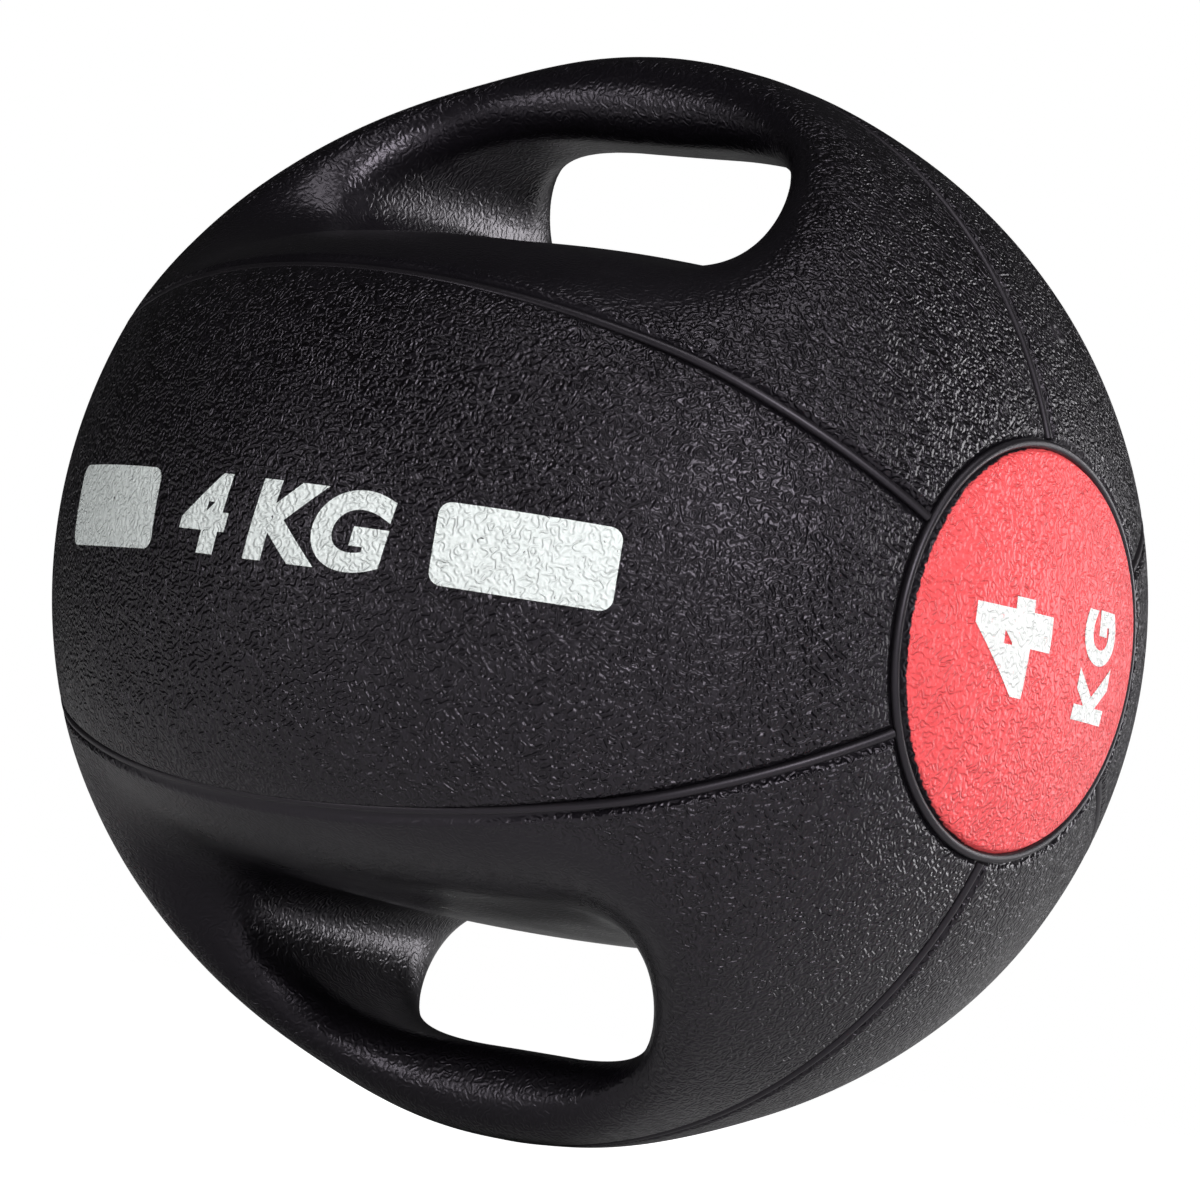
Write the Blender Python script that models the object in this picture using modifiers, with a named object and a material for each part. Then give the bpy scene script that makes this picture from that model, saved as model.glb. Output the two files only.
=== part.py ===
"""Dual-grip medicine ball: rubber cover panels over a weighted carcass with an air bladder.

Metres, +Z up. The origin is the ball's centre. +X and -X are the poles, which carry the
round weight labels. +Z and -Z are the middles of the two grips. -Y is the printed front panel.
"""
import math

import bmesh
import bpy
from mathutils import Matrix, Vector

# ---------------------------------------------------------------- driving sizes (metres)
BALL_RADIUS = 0.130
COVER_THICKNESS = 0.004
FIT_GAP = 0.0003             # clearance between pieces that are bonded face to face

# Seams: six meridians from pole to pole, and a ring round each label.
LABEL_ANGLE = math.radians(21.7)       # polar angle of the ring round a label
FRONT_SEAM_ANGLE = math.radians(30.0)  # from the middle of the front panel to its seams
CHANNEL_WIDTH = 0.0042

# Grip bars, flush with the ball, and the hand tunnels under them.
GRIP_WIDTH = 0.0335          # front to back, at mid length
GRIP_THICKNESS = 0.0215      # from the ball's outside to the underside of the bar
GRIP_EDGE_RADIUS = 0.0090    # rounding of the bar's inner long edges
GRIP_TOP_CHAMFER = 0.0040
GRIP_ROOT_FLARE = 0.0120     # how much each side of the bar spreads by its roots
TUNNEL_LENGTH = 0.1200       # along X
TUNNEL_HEIGHT = 0.0280       # finger gap under the bar, at mid length
TUNNEL_PINCH_RISE = 0.0065   # above the floor, where the underside and the floor meet at the ends
FLOOR_RADIUS_ACROSS = 0.3800  # crown of the floor from front to back
UNDERSIDE_FULLNESS = 4.2     # how full the underside's arch is: 2 is an ellipse, more is squarer
FLOOR_FULLNESS = 20.0        # the same for the floor, which stays level until close to its ends
FLARE_POWER = 6.0            # how late the bar's flare starts

# Inside.
GRIP_CORE_LENGTH = 0.080
WEIGHT_LAYER_LEVEL = 0.0157  # weight layer between cover and bladder, on the level
WEIGHT_LAYER_UP = 0.0122     # the same between a tunnel's floor and the bladder
BLADDER_WALL = 0.0018

# Valve: it lies beside the upper seam, 15 degrees round to the back.
VALVE_POLAR_ANGLE = math.radians(37.3)
VALVE_TURN = math.radians(104.8)      # from the middle of the front panel
VALVE_RADIUS = 0.0048
VALVE_FLANGE_RADIUS = 0.0070
VALVE_FLANGE_THICKNESS = 0.0030
VALVE_SINK = 0.0008                   # how far the flange lies below the carcass's outside
VALVE_INSIDE_LENGTH = 0.0050          # how far the valve reaches into the bladder
PLUG_RADIUS = 0.0028
PLUG_LENGTH = 0.0120
NEEDLE_HOLE_RADIUS = 0.0011

# Mesh steps. The balls are turned a little, so that no mesh edge lies on a seam.
BALL_STEPS = 40
BALL_RINGS = 22
BALL_MESH_TURN = math.radians(5.0)
BLADDER_STEPS = 28
BLADDER_RINGS = 15
TURN_STEPS = 36
TUNNEL_STATIONS = (0.45, 0.70, 0.85, 0.94, 0.985)  # shares of the tunnel's half length
FLOOR_STEPS = 4
EDGE_STEPS = 3
CHANNEL_STEPS = 60
CHANNEL_SIDES = 8
LABEL_STEPS = 5
MERGE_DISTANCE = 0.00001
CUTTER_REACH = 1.5           # cutters run out to this many ball radii

# ---------------------------------------------------------------- worked-out sizes
CARCASS_DEPTH = COVER_THICKNESS + FIT_GAP
UNDERSIDE_HEIGHT = BALL_RADIUS - GRIP_THICKNESS
FLOOR_HEIGHT = UNDERSIDE_HEIGHT - TUNNEL_HEIGHT
TUNNEL_MIDDLE = (UNDERSIDE_HEIGHT + FLOOR_HEIGHT) / 2.0
TUNNEL_PINCH_HEIGHT = FLOOR_HEIGHT + TUNNEL_PINCH_RISE
BLADDER_RADIUS_LEVEL = BALL_RADIUS - CARCASS_DEPTH - WEIGHT_LAYER_LEVEL
BLADDER_RADIUS_UP = FLOOR_HEIGHT - CARCASS_DEPTH - WEIGHT_LAYER_UP
HALF_GAP = FIT_GAP / 2.0
HALF_CHANNEL = CHANNEL_WIDTH / 2.0
BIG = BALL_RADIUS * CUTTER_REACH


def clear_scene():
    for old in list(bpy.data.objects):
        bpy.data.objects.remove(old, do_unlink=True)


def new_collection(name):
    collection = bpy.data.collections.new(name)
    bpy.context.scene.collection.children.link(collection)
    return collection


def rubber(name, colour, roughness):
    material = bpy.data.materials.new(name)
    material.use_nodes = True
    shader = material.node_tree.nodes["Principled BSDF"]
    shader.inputs["Base Color"].default_value = (*colour, 1.0)
    shader.inputs["Roughness"].default_value = roughness
    material.diffuse_color = (*colour, 1.0)
    return material


def on_ball(polar, turn, radius):
    """A point at a polar angle from +X, turned from the front (-Y) towards the top (+Z)."""
    return Vector((math.cos(polar), -math.sin(polar) * math.cos(turn),
                   math.sin(polar) * math.sin(turn))) * radius


# ---------------------------------------------------------------- objects and cutters
def object_from(work, name, material):
    """An object from a bmesh. With no material it is a cutter."""
    mesh = bpy.data.meshes.new(name)
    bmesh.ops.recalc_face_normals(work, faces=work.faces)
    work.to_mesh(mesh)
    work.free()
    return linked(name, mesh, material)


def linked(name, mesh, material):
    made = bpy.data.objects.new(name, mesh)
    if material is None:
        cutters.objects.link(made)
        made.hide_render = True
        made.display_type = "WIRE"
    else:
        ball.objects.link(made)
        mesh.materials.append(material)
    return made


def cut(target, cutter, operation="DIFFERENCE"):
    modifier = target.modifiers.new(f"{operation.lower()} {cutter.name}", "BOOLEAN")
    modifier.operation = operation
    modifier.solver = "EXACT"
    modifier.object = cutter


def ball_of(name, radius, material=None):
    """A ball whose mesh has its poles on the X axis."""
    work = bmesh.new()
    bmesh.ops.create_uvsphere(work, u_segments=BALL_STEPS, v_segments=BALL_RINGS, radius=radius)
    bmesh.ops.rotate(work, verts=work.verts, matrix=Matrix.Rotation(BALL_MESH_TURN, 3, "Z"))
    bmesh.ops.rotate(work, verts=work.verts, matrix=Matrix.Rotation(math.pi / 2.0, 3, "Y"))
    return object_from(work, name, material)


def oval_ball(name, level_radius, up_radius, material=None):
    """A flattened ball, with the poles of its mesh at the front and the back."""
    work = bmesh.new()
    bmesh.ops.create_uvsphere(work, u_segments=BLADDER_STEPS, v_segments=BLADDER_RINGS, radius=1.0)
    for vert in work.verts:
        vert.co = Vector((vert.co.x * level_radius, -vert.co.z * level_radius, vert.co.y * up_radius))
    return object_from(work, name, material)


def box_cutter(name, low, high):
    work = bmesh.new()
    bmesh.ops.create_cube(work, size=1.0)
    middle = (Vector(low) + Vector(high)) / 2.0
    size = Vector(high) - Vector(low)
    for vert in work.verts:
        vert.co = Vector(a * b for a, b in zip(vert.co, size)) + middle
    return object_from(work, name, None)


def turned(name, profile, material=None, closed=True):
    """A profile of (along, out) points turned round the object's own Z axis."""
    mesh = bpy.data.meshes.new(name)
    points = [(out, 0.0, along) for along, out in reversed(profile)]
    edges = [(k, k + 1) for k in range(len(points) - 1)]
    if closed:
        edges.append((len(points) - 1, 0))
    mesh.from_pydata(points, edges, [])
    made = linked(name, mesh, material)
    screw = made.modifiers.new("turn", "SCREW")
    screw.steps = TURN_STEPS
    screw.render_steps = TURN_STEPS
    screw.use_merge_vertices = True
    screw.merge_threshold = MERGE_DISTANCE
    return made


def channel_ring(name, radius, facing, place=(0.0, 0.0, 0.0)):
    """A thin torus that cuts the round-bottomed channel along a seam."""
    bpy.ops.mesh.primitive_torus_add(major_segments=CHANNEL_STEPS, minor_segments=CHANNEL_SIDES,
                                     major_radius=radius, minor_radius=HALF_CHANNEL)
    made = bpy.context.object
    made.name = name
    made.rotation_mode = "QUATERNION"
    made.rotation_quaternion = Vector(facing).to_track_quat("Z", "Y")
    made.location = place
    for collection in list(made.users_collection):
        collection.objects.unlink(made)
    cutters.objects.link(made)
    made.hide_render = True
    made.display_type = "WIRE"
    return made


# ---------------------------------------------------------------- the hand tunnels
def tunnel_section(share, depth):
    """Half of the space round a grip bar, in (Y, Z): floor, outside, bar side and underside.

    Share runs from 0 at mid length to 1 at the pinch. The underside falls in a full arch and
    the floor stays level until close to the end.
    """
    rise = (UNDERSIDE_HEIGHT + depth - TUNNEL_PINCH_HEIGHT) * math.sqrt(1.0 - share ** UNDERSIDE_FULLNESS)
    fall = (TUNNEL_PINCH_HEIGHT - FLOOR_HEIGHT + depth) * math.sqrt(1.0 - share ** FLOOR_FULLNESS)
    floor = TUNNEL_PINCH_HEIGHT - fall
    underside = TUNNEL_PINCH_HEIGHT + rise
    side = GRIP_WIDTH / 2.0 - depth + GRIP_ROOT_FLARE * share ** FLARE_POWER
    corner = GRIP_EDGE_RADIUS - depth
    top = BALL_RADIUS - depth
    section = []
    for step in range(FLOOR_STEPS + 1):
        y = BALL_RADIUS * step / FLOOR_STEPS
        section.append((y, floor - y * y / (2.0 * FLOOR_RADIUS_ACROSS)))
    section += [(BALL_RADIUS, BIG), (side - GRIP_TOP_CHAMFER, BIG),
                (side - GRIP_TOP_CHAMFER, top), (side, top - GRIP_TOP_CHAMFER)]
    for step in range(EDGE_STEPS + 1):
        angle = math.pi / 2.0 * step / EDGE_STEPS
        section.append((side - corner + corner * math.cos(angle),
                        underside + corner - corner * math.sin(angle)))
    section.append((0.0, underside))
    return section


def tunnel_cutter(name, sign, depth):
    """The space for a hand round one grip, lofted along X through sections that close at its ends."""
    work = bmesh.new()
    loops = []
    for share in [-share for share in reversed(TUNNEL_STATIONS)] + list(TUNNEL_STATIONS):
        half = tunnel_section(abs(share), depth)
        whole = half + [(-y, z) for y, z in half[-2:0:-1]]
        x = share * (TUNNEL_LENGTH / 2.0 + depth)
        loops.append([work.verts.new((x, y, z * sign)) for y, z in whole])
    count = len(loops[0])
    for first, second in zip(loops, loops[1:]):
        for k in range(count):
            work.faces.new((first[k], first[(k + 1) % count], second[(k + 1) % count], second[k]))
    work.faces.new(loops[0])
    work.faces.new(loops[-1])
    return object_from(work, name, None)


# ---------------------------------------------------------------- sub-parts
def layer_form(name, depth, material=None):
    """The ball's shape at a depth below the skin, with both hand tunnels cut through it."""
    form = ball_of(name, BALL_RADIUS - depth, material)
    for label, sign in (("upper", 1), ("lower", -1)):
        cut(form, tunnel_cutter(f"{name}_{label}_tunnel", sign, depth))
    return form


def wedge_cutter(name, low_turn, high_turn):
    """A slice of the ball between two seams, held clear of both."""
    work = bmesh.new()
    middle = (low_turn + high_turn) / 2.0
    half = (high_turn - low_turn) / 2.0
    apex = HALF_GAP / math.sin(half)
    far = BIG * 2.0
    corners = [(apex, middle), (far, low_turn), (far, middle), (far, high_turn)]
    offset = on_ball(math.pi / 2.0, middle, apex)
    loops = []
    for x in (-BIG, BIG):
        loop = []
        for radius, turn in corners:
            place = on_ball(math.pi / 2.0, turn, radius)
            if turn != middle:
                place += offset
            loop.append(work.verts.new((x, place.y, place.z)))
        loops.append(loop)
    for k in range(4):
        work.faces.new((loops[0][k], loops[0][(k + 1) % 4], loops[1][(k + 1) % 4], loops[1][k]))
    work.faces.new(loops[0])
    work.faces.new(loops[1])
    return object_from(work, name, None)


def pole_cutter(name, side):
    """A cone from the centre that clears the space for a label."""
    spread = LABEL_ANGLE + HALF_GAP / BALL_RADIUS
    cone = turned(name, [(0.0, 0.0), (BIG * math.cos(spread), BIG * math.sin(spread)), (BIG, 0.0)],
                  closed=False)
    cone.rotation_euler = (0.0, side * math.pi / 2.0, 0.0)
    return cone


def cover_panels():
    """Six panels of textured rubber: front, rear, and the four that carry the grips."""
    lining = layer_form("cover_lining", COVER_THICKNESS)
    poles = [pole_cutter("right_pole", 1), pole_cutter("left_pole", -1)]
    turns = [FRONT_SEAM_ANGLE, -FRONT_SEAM_ANGLE, math.pi / 2.0]
    channels = {}
    for turn, name in zip(turns, ("rising_seam", "falling_seam", "grip_seam")):
        channels[name] = channel_ring(name, BALL_RADIUS, on_ball(math.pi / 2.0, turn + math.pi / 2.0, 1.0))
    ring_place = BALL_RADIUS * math.cos(LABEL_ANGLE)
    rings = [channel_ring(name, BALL_RADIUS * math.sin(LABEL_ANGLE), (1.0, 0.0, 0.0), (x, 0.0, 0.0))
             for name, x in (("right_ring", ring_place), ("left_ring", -ring_place))]
    front, top = FRONT_SEAM_ANGLE, math.pi / 2.0
    plan = (("front_panel", -front, front, ("rising_seam", "falling_seam")),
            ("rear_panel", math.pi - front, math.pi + front, ("rising_seam", "falling_seam")),
            ("upper_front_panel", front, top, ("rising_seam", "grip_seam")),
            ("upper_rear_panel", top, math.pi - front, ("falling_seam", "grip_seam")),
            ("lower_front_panel", -top, -front, ("falling_seam", "grip_seam")),
            ("lower_rear_panel", -math.pi + front, -top, ("rising_seam", "grip_seam")))
    made = {}
    for name, low_turn, high_turn, seams in plan:
        panel = layer_form(name, 0.0, black_cover)
        cut(panel, wedge_cutter(f"{name}_slice", low_turn, high_turn), "INTERSECT")
        cut(panel, lining)
        for cutter in poles + rings + [channels[seam] for seam in seams]:
            cut(panel, cutter)
        made[name] = panel
    return made


def label_disc(name, side):
    """A round cap at a pole, moulded in the cover rubber, that carries the weight."""
    inner_radius = BALL_RADIUS - COVER_THICKNESS
    top_angle = LABEL_ANGLE - HALF_CHANNEL / BALL_RADIUS
    base_angle = LABEL_ANGLE - HALF_GAP / inner_radius
    arcs = [(inner_radius, base_angle * k / LABEL_STEPS) for k in range(LABEL_STEPS + 1)]
    arcs.append((BALL_RADIUS - HALF_CHANNEL, base_angle))
    arcs += [(BALL_RADIUS, top_angle * k / LABEL_STEPS) for k in range(LABEL_STEPS, -1, -1)]
    profile = [(radius * math.cos(angle), radius * math.sin(angle)) for radius, angle in arcs]
    disc = turned(name, profile, red_label, closed=False)
    disc.rotation_euler = (0.0, side * math.pi / 2.0, 0.0)
    return disc


def carcass_and_grips():
    """Weight layer in two bonded halves, and the solid cores of the two grip bars."""
    cavity = oval_ball("bladder_cavity", BLADDER_RADIUS_LEVEL + FIT_GAP, BLADDER_RADIUS_UP + FIT_GAP)
    half_core = GRIP_CORE_LENGTH / 2.0
    made = {}
    for name, low_y, high_y in (("carcass_front", -BIG, -HALF_GAP), ("carcass_rear", HALF_GAP, BIG)):
        half = layer_form(name, CARCASS_DEPTH, weight_rubber)
        for label, sign in (("upper", 1), ("lower", -1)):
            near, far = sorted((sign * TUNNEL_MIDDLE, sign * BIG))
            cut(half, box_cutter(f"{name}_{label}_grip_seat", (-half_core - HALF_GAP, -BIG, near),
                                 (half_core + HALF_GAP, BIG, far)))
        cut(half, box_cutter(f"{name}_half", (-BIG, low_y, -BIG), (BIG, high_y, BIG)), "INTERSECT")
        cut(half, cavity)
        made[name] = half
    for label, sign in (("upper", 1), ("lower", -1)):
        core = layer_form(f"{label}_grip_core", CARCASS_DEPTH, grip_rubber)
        near, far = sorted((sign * TUNNEL_MIDDLE, sign * BIG))
        cut(core, box_cutter(f"{label}_grip_core_length", (-half_core + HALF_GAP, -BIG, near),
                             (half_core - HALF_GAP, BIG, far)), "INTERSECT")
        made[core.name] = core
    return made


def bladder():
    """A hollow butyl bladder. The valve's hole leaves it open."""
    outer = oval_ball("bladder", BLADDER_RADIUS_LEVEL, BLADDER_RADIUS_UP, bladder_rubber)
    cut(outer, oval_ball("bladder_hollow", BLADDER_RADIUS_LEVEL - BLADDER_WALL,
                         BLADDER_RADIUS_UP - BLADDER_WALL))
    return outer


def bladder_reach():
    """Distance from the centre to the bladder's outside, along the valve."""
    level = math.hypot(valve_axis.x, valve_axis.y) / BLADDER_RADIUS_LEVEL
    return 1.0 / math.hypot(level, valve_axis.z / BLADDER_RADIUS_UP)


def valve(cover_panel, carcass, bladder_part):
    """A flanged valve in a bore through the carcass, and its plug, under a needle hole."""
    top = BALL_RADIUS - CARCASS_DEPTH - VALVE_SINK
    seat = top - VALVE_FLANGE_THICKNESS
    foot = bladder_reach() - VALVE_INSIDE_LENGTH
    bore = PLUG_RADIUS + FIT_GAP
    plug_foot = top - PLUG_LENGTH
    body = turned("valve_body", [
        (foot, NEEDLE_HOLE_RADIUS), (foot, VALVE_RADIUS), (seat, VALVE_RADIUS),
        (seat, VALVE_FLANGE_RADIUS), (top, VALVE_FLANGE_RADIUS), (top, bore),
        (plug_foot - FIT_GAP, bore), (plug_foot - FIT_GAP, NEEDLE_HOLE_RADIUS)], valve_rubber)
    plug = turned("valve_plug", [
        (plug_foot, NEEDLE_HOLE_RADIUS), (plug_foot, PLUG_RADIUS), (top, PLUG_RADIUS),
        (top, NEEDLE_HOLE_RADIUS)], plug_rubber)
    passage = turned("valve_passage", [
        (0.0, 0.0), (0.0, VALVE_RADIUS + FIT_GAP), (seat - FIT_GAP, VALVE_RADIUS + FIT_GAP),
        (seat - FIT_GAP, VALVE_FLANGE_RADIUS + FIT_GAP), (BIG, VALVE_FLANGE_RADIUS + FIT_GAP),
        (BIG, 0.0)], closed=False)
    needle_hole = turned("needle_hole", [
        (seat, 0.0), (seat, NEEDLE_HOLE_RADIUS), (BIG, NEEDLE_HOLE_RADIUS), (BIG, 0.0)], closed=False)
    for made in (body, plug, passage, needle_hole):
        made.rotation_mode = "QUATERNION"
        made.rotation_quaternion = valve_axis.to_track_quat("Z", "Y")
    cut(carcass, passage)
    cut(bladder_part, passage)
    cut(cover_panel, needle_hole)


clear_scene()
ball = new_collection("medicine_ball")
cutters = new_collection("cutters")
black_cover = rubber("black_cover_rubber", (0.023, 0.020, 0.024), 0.55)
red_label = rubber("red_label_rubber", (0.940, 0.115, 0.118), 0.50)
weight_rubber = rubber("grey_weight_rubber", (0.060, 0.060, 0.062), 0.80)
grip_rubber = rubber("grip_core_rubber", (0.040, 0.040, 0.045), 0.70)
bladder_rubber = rubber("butyl_bladder_rubber", (0.015, 0.015, 0.016), 0.40)
valve_rubber = rubber("valve_rubber", (0.110, 0.100, 0.090), 0.50)
plug_rubber = rubber("plug_rubber", (0.300, 0.250, 0.180), 0.50)
valve_axis = on_ball(VALVE_POLAR_ANGLE, VALVE_TURN, 1.0)

panels = cover_panels()
label_disc("label_disc_right", 1)
label_disc("label_disc_left", -1)
inside = carcass_and_grips()
valve(panels["upper_rear_panel"], inside["carcass_rear"], bladder())
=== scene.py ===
# %% [markdown]
# # A dual-grip medicine ball in moulded rubber
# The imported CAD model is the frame: it says how big the ball is and which pieces it has. This lesson
# replaces the cover's panels and the label caps by fine meshes of the same shape, adds the beads in
# the seams, the print and the valve's rim, and gives each piece the finish of its real material.

import math

import bmesh
import bpy
import numpy as np
from mathutils import Matrix, Vector


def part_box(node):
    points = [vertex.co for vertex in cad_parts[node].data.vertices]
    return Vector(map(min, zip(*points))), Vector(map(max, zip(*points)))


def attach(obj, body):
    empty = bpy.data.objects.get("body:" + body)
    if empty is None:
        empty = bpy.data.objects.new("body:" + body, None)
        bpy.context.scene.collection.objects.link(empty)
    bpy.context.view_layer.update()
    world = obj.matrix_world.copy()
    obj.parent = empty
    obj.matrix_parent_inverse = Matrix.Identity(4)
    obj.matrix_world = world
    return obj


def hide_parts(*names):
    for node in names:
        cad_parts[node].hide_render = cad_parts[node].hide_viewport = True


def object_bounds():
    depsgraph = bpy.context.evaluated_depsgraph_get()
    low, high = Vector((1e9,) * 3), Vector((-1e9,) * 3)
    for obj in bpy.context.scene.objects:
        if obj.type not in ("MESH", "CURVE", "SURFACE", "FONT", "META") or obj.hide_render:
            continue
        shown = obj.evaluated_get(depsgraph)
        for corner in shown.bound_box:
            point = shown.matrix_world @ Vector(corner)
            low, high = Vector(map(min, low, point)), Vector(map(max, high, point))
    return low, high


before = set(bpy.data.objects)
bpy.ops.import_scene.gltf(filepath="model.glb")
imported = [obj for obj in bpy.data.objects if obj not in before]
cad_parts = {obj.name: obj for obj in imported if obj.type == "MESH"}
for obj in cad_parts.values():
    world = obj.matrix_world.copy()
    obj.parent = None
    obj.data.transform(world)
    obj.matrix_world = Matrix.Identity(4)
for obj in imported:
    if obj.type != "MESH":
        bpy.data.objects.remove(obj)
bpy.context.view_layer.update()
BODY = "root"
BALL_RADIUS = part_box("label_disc_right")[1].x
print("ball diameter in mm:", round(BALL_RADIUS * 2000.0, 1))

# %% [markdown]
# ## The ball's driving sizes
# Only a few sizes shape the cover: the grip bar, the hand tunnel under it, and the radii that blend
# them into the ball. They are in metres, for this ball's radius, and are kept in one place so that a
# learner can change one and see what follows.

# %% Sizes
LABEL_ANGLE = math.radians(21.7)       # polar angle of the groove round a label cap
FRONT_SEAM_ANGLE = math.radians(30.0)  # from the middle of the front panel to its seams
GRIP_WIDTH = 0.0335
GRIP_THICKNESS = 0.0201
TUNNEL_HEIGHT = 0.0308
UNDERSIDE_HEIGHT = BALL_RADIUS - GRIP_THICKNESS
FLOOR_HEIGHT = UNDERSIDE_HEIGHT - TUNNEL_HEIGHT
TUNNEL_LENGTH = 0.1320
GRIP_EDGE_BLEND = 0.0129
GRIP_TOP_BLEND = 0.0100
GRIP_ROOT_BLEND = 0.0445
TUNNEL_CORNER_BLEND = 0.0225
SHOULDER_BLEND = 0.0255
SHOULDER_START = 0.0026
SHOULDER_RUN = 0.0455
FLOOR_RADIUS_ALONG = 0.515
FLOOR_RADIUS_ACROSS = 0.681
WALL_FLARE_RADIUS = 0.493
GRIP_WAIST_RADIUS = 0.625
CHANNEL_REACH = 0.0030        # from the middle of a seam to the flat skin
CHANNEL_DEPTH = 0.0016
BEAD_RADIUS = 0.00115


# %% [markdown]
# ## The skin as a rule
# On the real ball the scoops and the bars melt into the sphere, because the mould was cut with round
# tools. A height function says that directly: sphere, recess and bar are three simple distances, and
# a smooth maximum joins two of them with a fillet of a stated width. Points are then moved onto the
# surface where the height is zero by a few Newton steps, which works for any mesh that starts nearby.

# %% Height over the skin
SLOPE_STEP = 0.00002
LEAST_SLOPE = 0.05            # keeps a Newton step finite where the height rule is nearly flat


def smooth_max(first, second, blend):
    overlap = np.maximum(blend - np.abs(first - second), 0.0) / blend
    return np.maximum(first, second) + overlap * overlap * blend / 4.0


def smooth_min(first, second, blend):
    return -smooth_max(-first, -second, blend)


def skin_height(points):
    """Above zero outside the ball's skin, below zero inside it."""
    x, y, z = np.abs(points).T
    over_ball = np.linalg.norm(points, axis=1) - BALL_RADIUS
    floor = FLOOR_HEIGHT - x * x / (2.0 * FLOOR_RADIUS_ALONG) - y * y / (2.0 * FLOOR_RADIUS_ACROSS)
    end_wall = TUNNEL_LENGTH / 2.0 + y * y / (2.0 * WALL_FLARE_RADIUS)
    recess = smooth_max(floor - z, x - end_wall, TUNNEL_CORNER_BLEND)
    half_width = GRIP_WIDTH / 2.0 + x * x / (2.0 * GRIP_WAIST_RADIUS)
    bar = smooth_max(y - half_width, UNDERSIDE_HEIGHT - z, GRIP_EDGE_BLEND)
    body = smooth_min(-recess, bar, GRIP_ROOT_BLEND)
    run = np.clip((y - GRIP_WIDTH / 2.0 - SHOULDER_START) / SHOULDER_RUN, 0.0, 1.0)
    edge_blend = GRIP_TOP_BLEND + (SHOULDER_BLEND - GRIP_TOP_BLEND) * run * run * (3.0 - 2.0 * run)
    return smooth_max(over_ball, body, edge_blend)


def skin_slope(points):
    slope = np.empty_like(points)
    for axis in range(3):
        offset = np.zeros(3)
        offset[axis] = SLOPE_STEP
        rise = skin_height(points + offset) - skin_height(points - offset)
        slope[:, axis] = rise / (2.0 * SLOPE_STEP)
    return slope


def settle(points, rounds=8):
    """Points moved along the slope onto the skin."""
    for _ in range(rounds):
        slope = skin_slope(points)
        length = np.maximum((slope * slope).sum(1), LEAST_SLOPE)
        points = points - slope * (skin_height(points) / length)[:, None]
    return points


# %% [markdown]
# ## Seams
# The cover is six panels between the poles. Each seam lies in a plane through the X axis, and the
# groove round each label cap lies in a plane across it, so the distance to a seam is the distance to
# a plane. The moulded channel is a soft round dip along that distance. It fades where a seam runs
# inside a hand tunnel, because there the mould has no channel.

# %% Seam planes and the channel's profile
CHANNEL_FLATNESS = 2.5        # a higher power keeps the channel's bottom flat for longer
CHANNEL_FADE = 2.2            # a higher power makes its lips softer
CHANNEL_FROM, CHANNEL_FULL = 0.925, 0.955   # shares of the radius: a seam channel starts, and is full
GRAIN_FROM, GRAIN_FULL = 0.958, 0.992       # the same for the grain
SCOOP_GRAIN = 0.16            # grain left in the scoops, of the ball's
BAR_GRAIN_LOSS = 0.62         # grain worn from the bars, of the ball's


def across_front(turn):
    """Unit normal of the seam plane at a turn from the front, about the X axis."""
    return np.array((0.0, math.sin(turn), math.cos(turn)))


GRIP_SEAM = math.pi / 2.0
SEAM_NORMALS = {"grip": across_front(GRIP_SEAM), "upper": across_front(FRONT_SEAM_ANGLE),
                "lower": across_front(-FRONT_SEAM_ANGLE)}


def channel_depth(distance):
    """Depth of the channel at a distance from the middle of a seam."""
    share = np.clip(distance / CHANNEL_REACH, 0.0, 1.0)
    return CHANNEL_DEPTH * (1.0 - share ** CHANNEL_FLATNESS) ** CHANNEL_FADE


def smooth_rise(values, low, high):
    share = np.clip((values - low) / (high - low), 0.0, 1.0)
    return share * share * (3.0 - 2.0 * share)


def seam_distances(points):
    """Distance from each point to the nearest seam, and to the nearer label ring."""
    nearest = np.min([np.abs(points @ normal) for normal in SEAM_NORMALS.values()], axis=0)
    polar = np.arccos(np.clip(np.abs(points[:, 0]) / np.linalg.norm(points, axis=1), 0.0, 1.0))
    return nearest, (polar - LABEL_ANGLE) * BALL_RADIUS


def sunk(points):
    """Points with the seam channels pressed in, and how far each point is from flat skin."""
    slope = skin_slope(points)
    normals = slope / np.linalg.norm(slope, axis=1)[:, None]
    seam, ring = seam_distances(points)
    radius = np.linalg.norm(points, axis=1)
    outside = smooth_rise(radius, BALL_RADIUS * CHANNEL_FROM, BALL_RADIUS * CHANNEL_FULL)
    seam_depth = channel_depth(seam) * outside * (ring > 0.0)
    depth = np.maximum(seam_depth, channel_depth(np.abs(ring)))
    return points - normals * depth[:, None], depth / CHANNEL_DEPTH


def texture_share(points, channel):
    """How strong the moulded grain is: full on the ball, faint in the scoops, none in a channel."""
    radius = np.linalg.norm(points, axis=1)
    low = smooth_rise(radius, BALL_RADIUS * GRAIN_FROM, BALL_RADIUS * GRAIN_FULL)
    on_bar = 1.0 - smooth_rise(np.abs(points[:, 1]), 0.015, 0.022)
    on_bar = on_bar * (1.0 - smooth_rise(np.abs(points[:, 0]), 0.050, 0.075))
    on_bar = on_bar * smooth_rise(np.abs(points[:, 2]), 0.09, 0.10)
    share = SCOOP_GRAIN + (1.0 - SCOOP_GRAIN) * low * (1.0 - BAR_GRAIN_LOSS * on_bar)
    return share * np.clip(1.0 - channel * 1.4, 0.0, 1.0)


# %% [markdown]
# ## One closed skin
# A ball with two hand tunnels has no grid of its own without folds or poles. The rule can make the
# mesh instead: Geometry Nodes fills a volume by the same height function, and the surface where it
# is half full comes out as even quads, whatever the topology. A few Newton steps then put each
# vertex exactly on the rule, and one subdivision with a second settle gives faces of about 1.2 mm.

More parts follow.
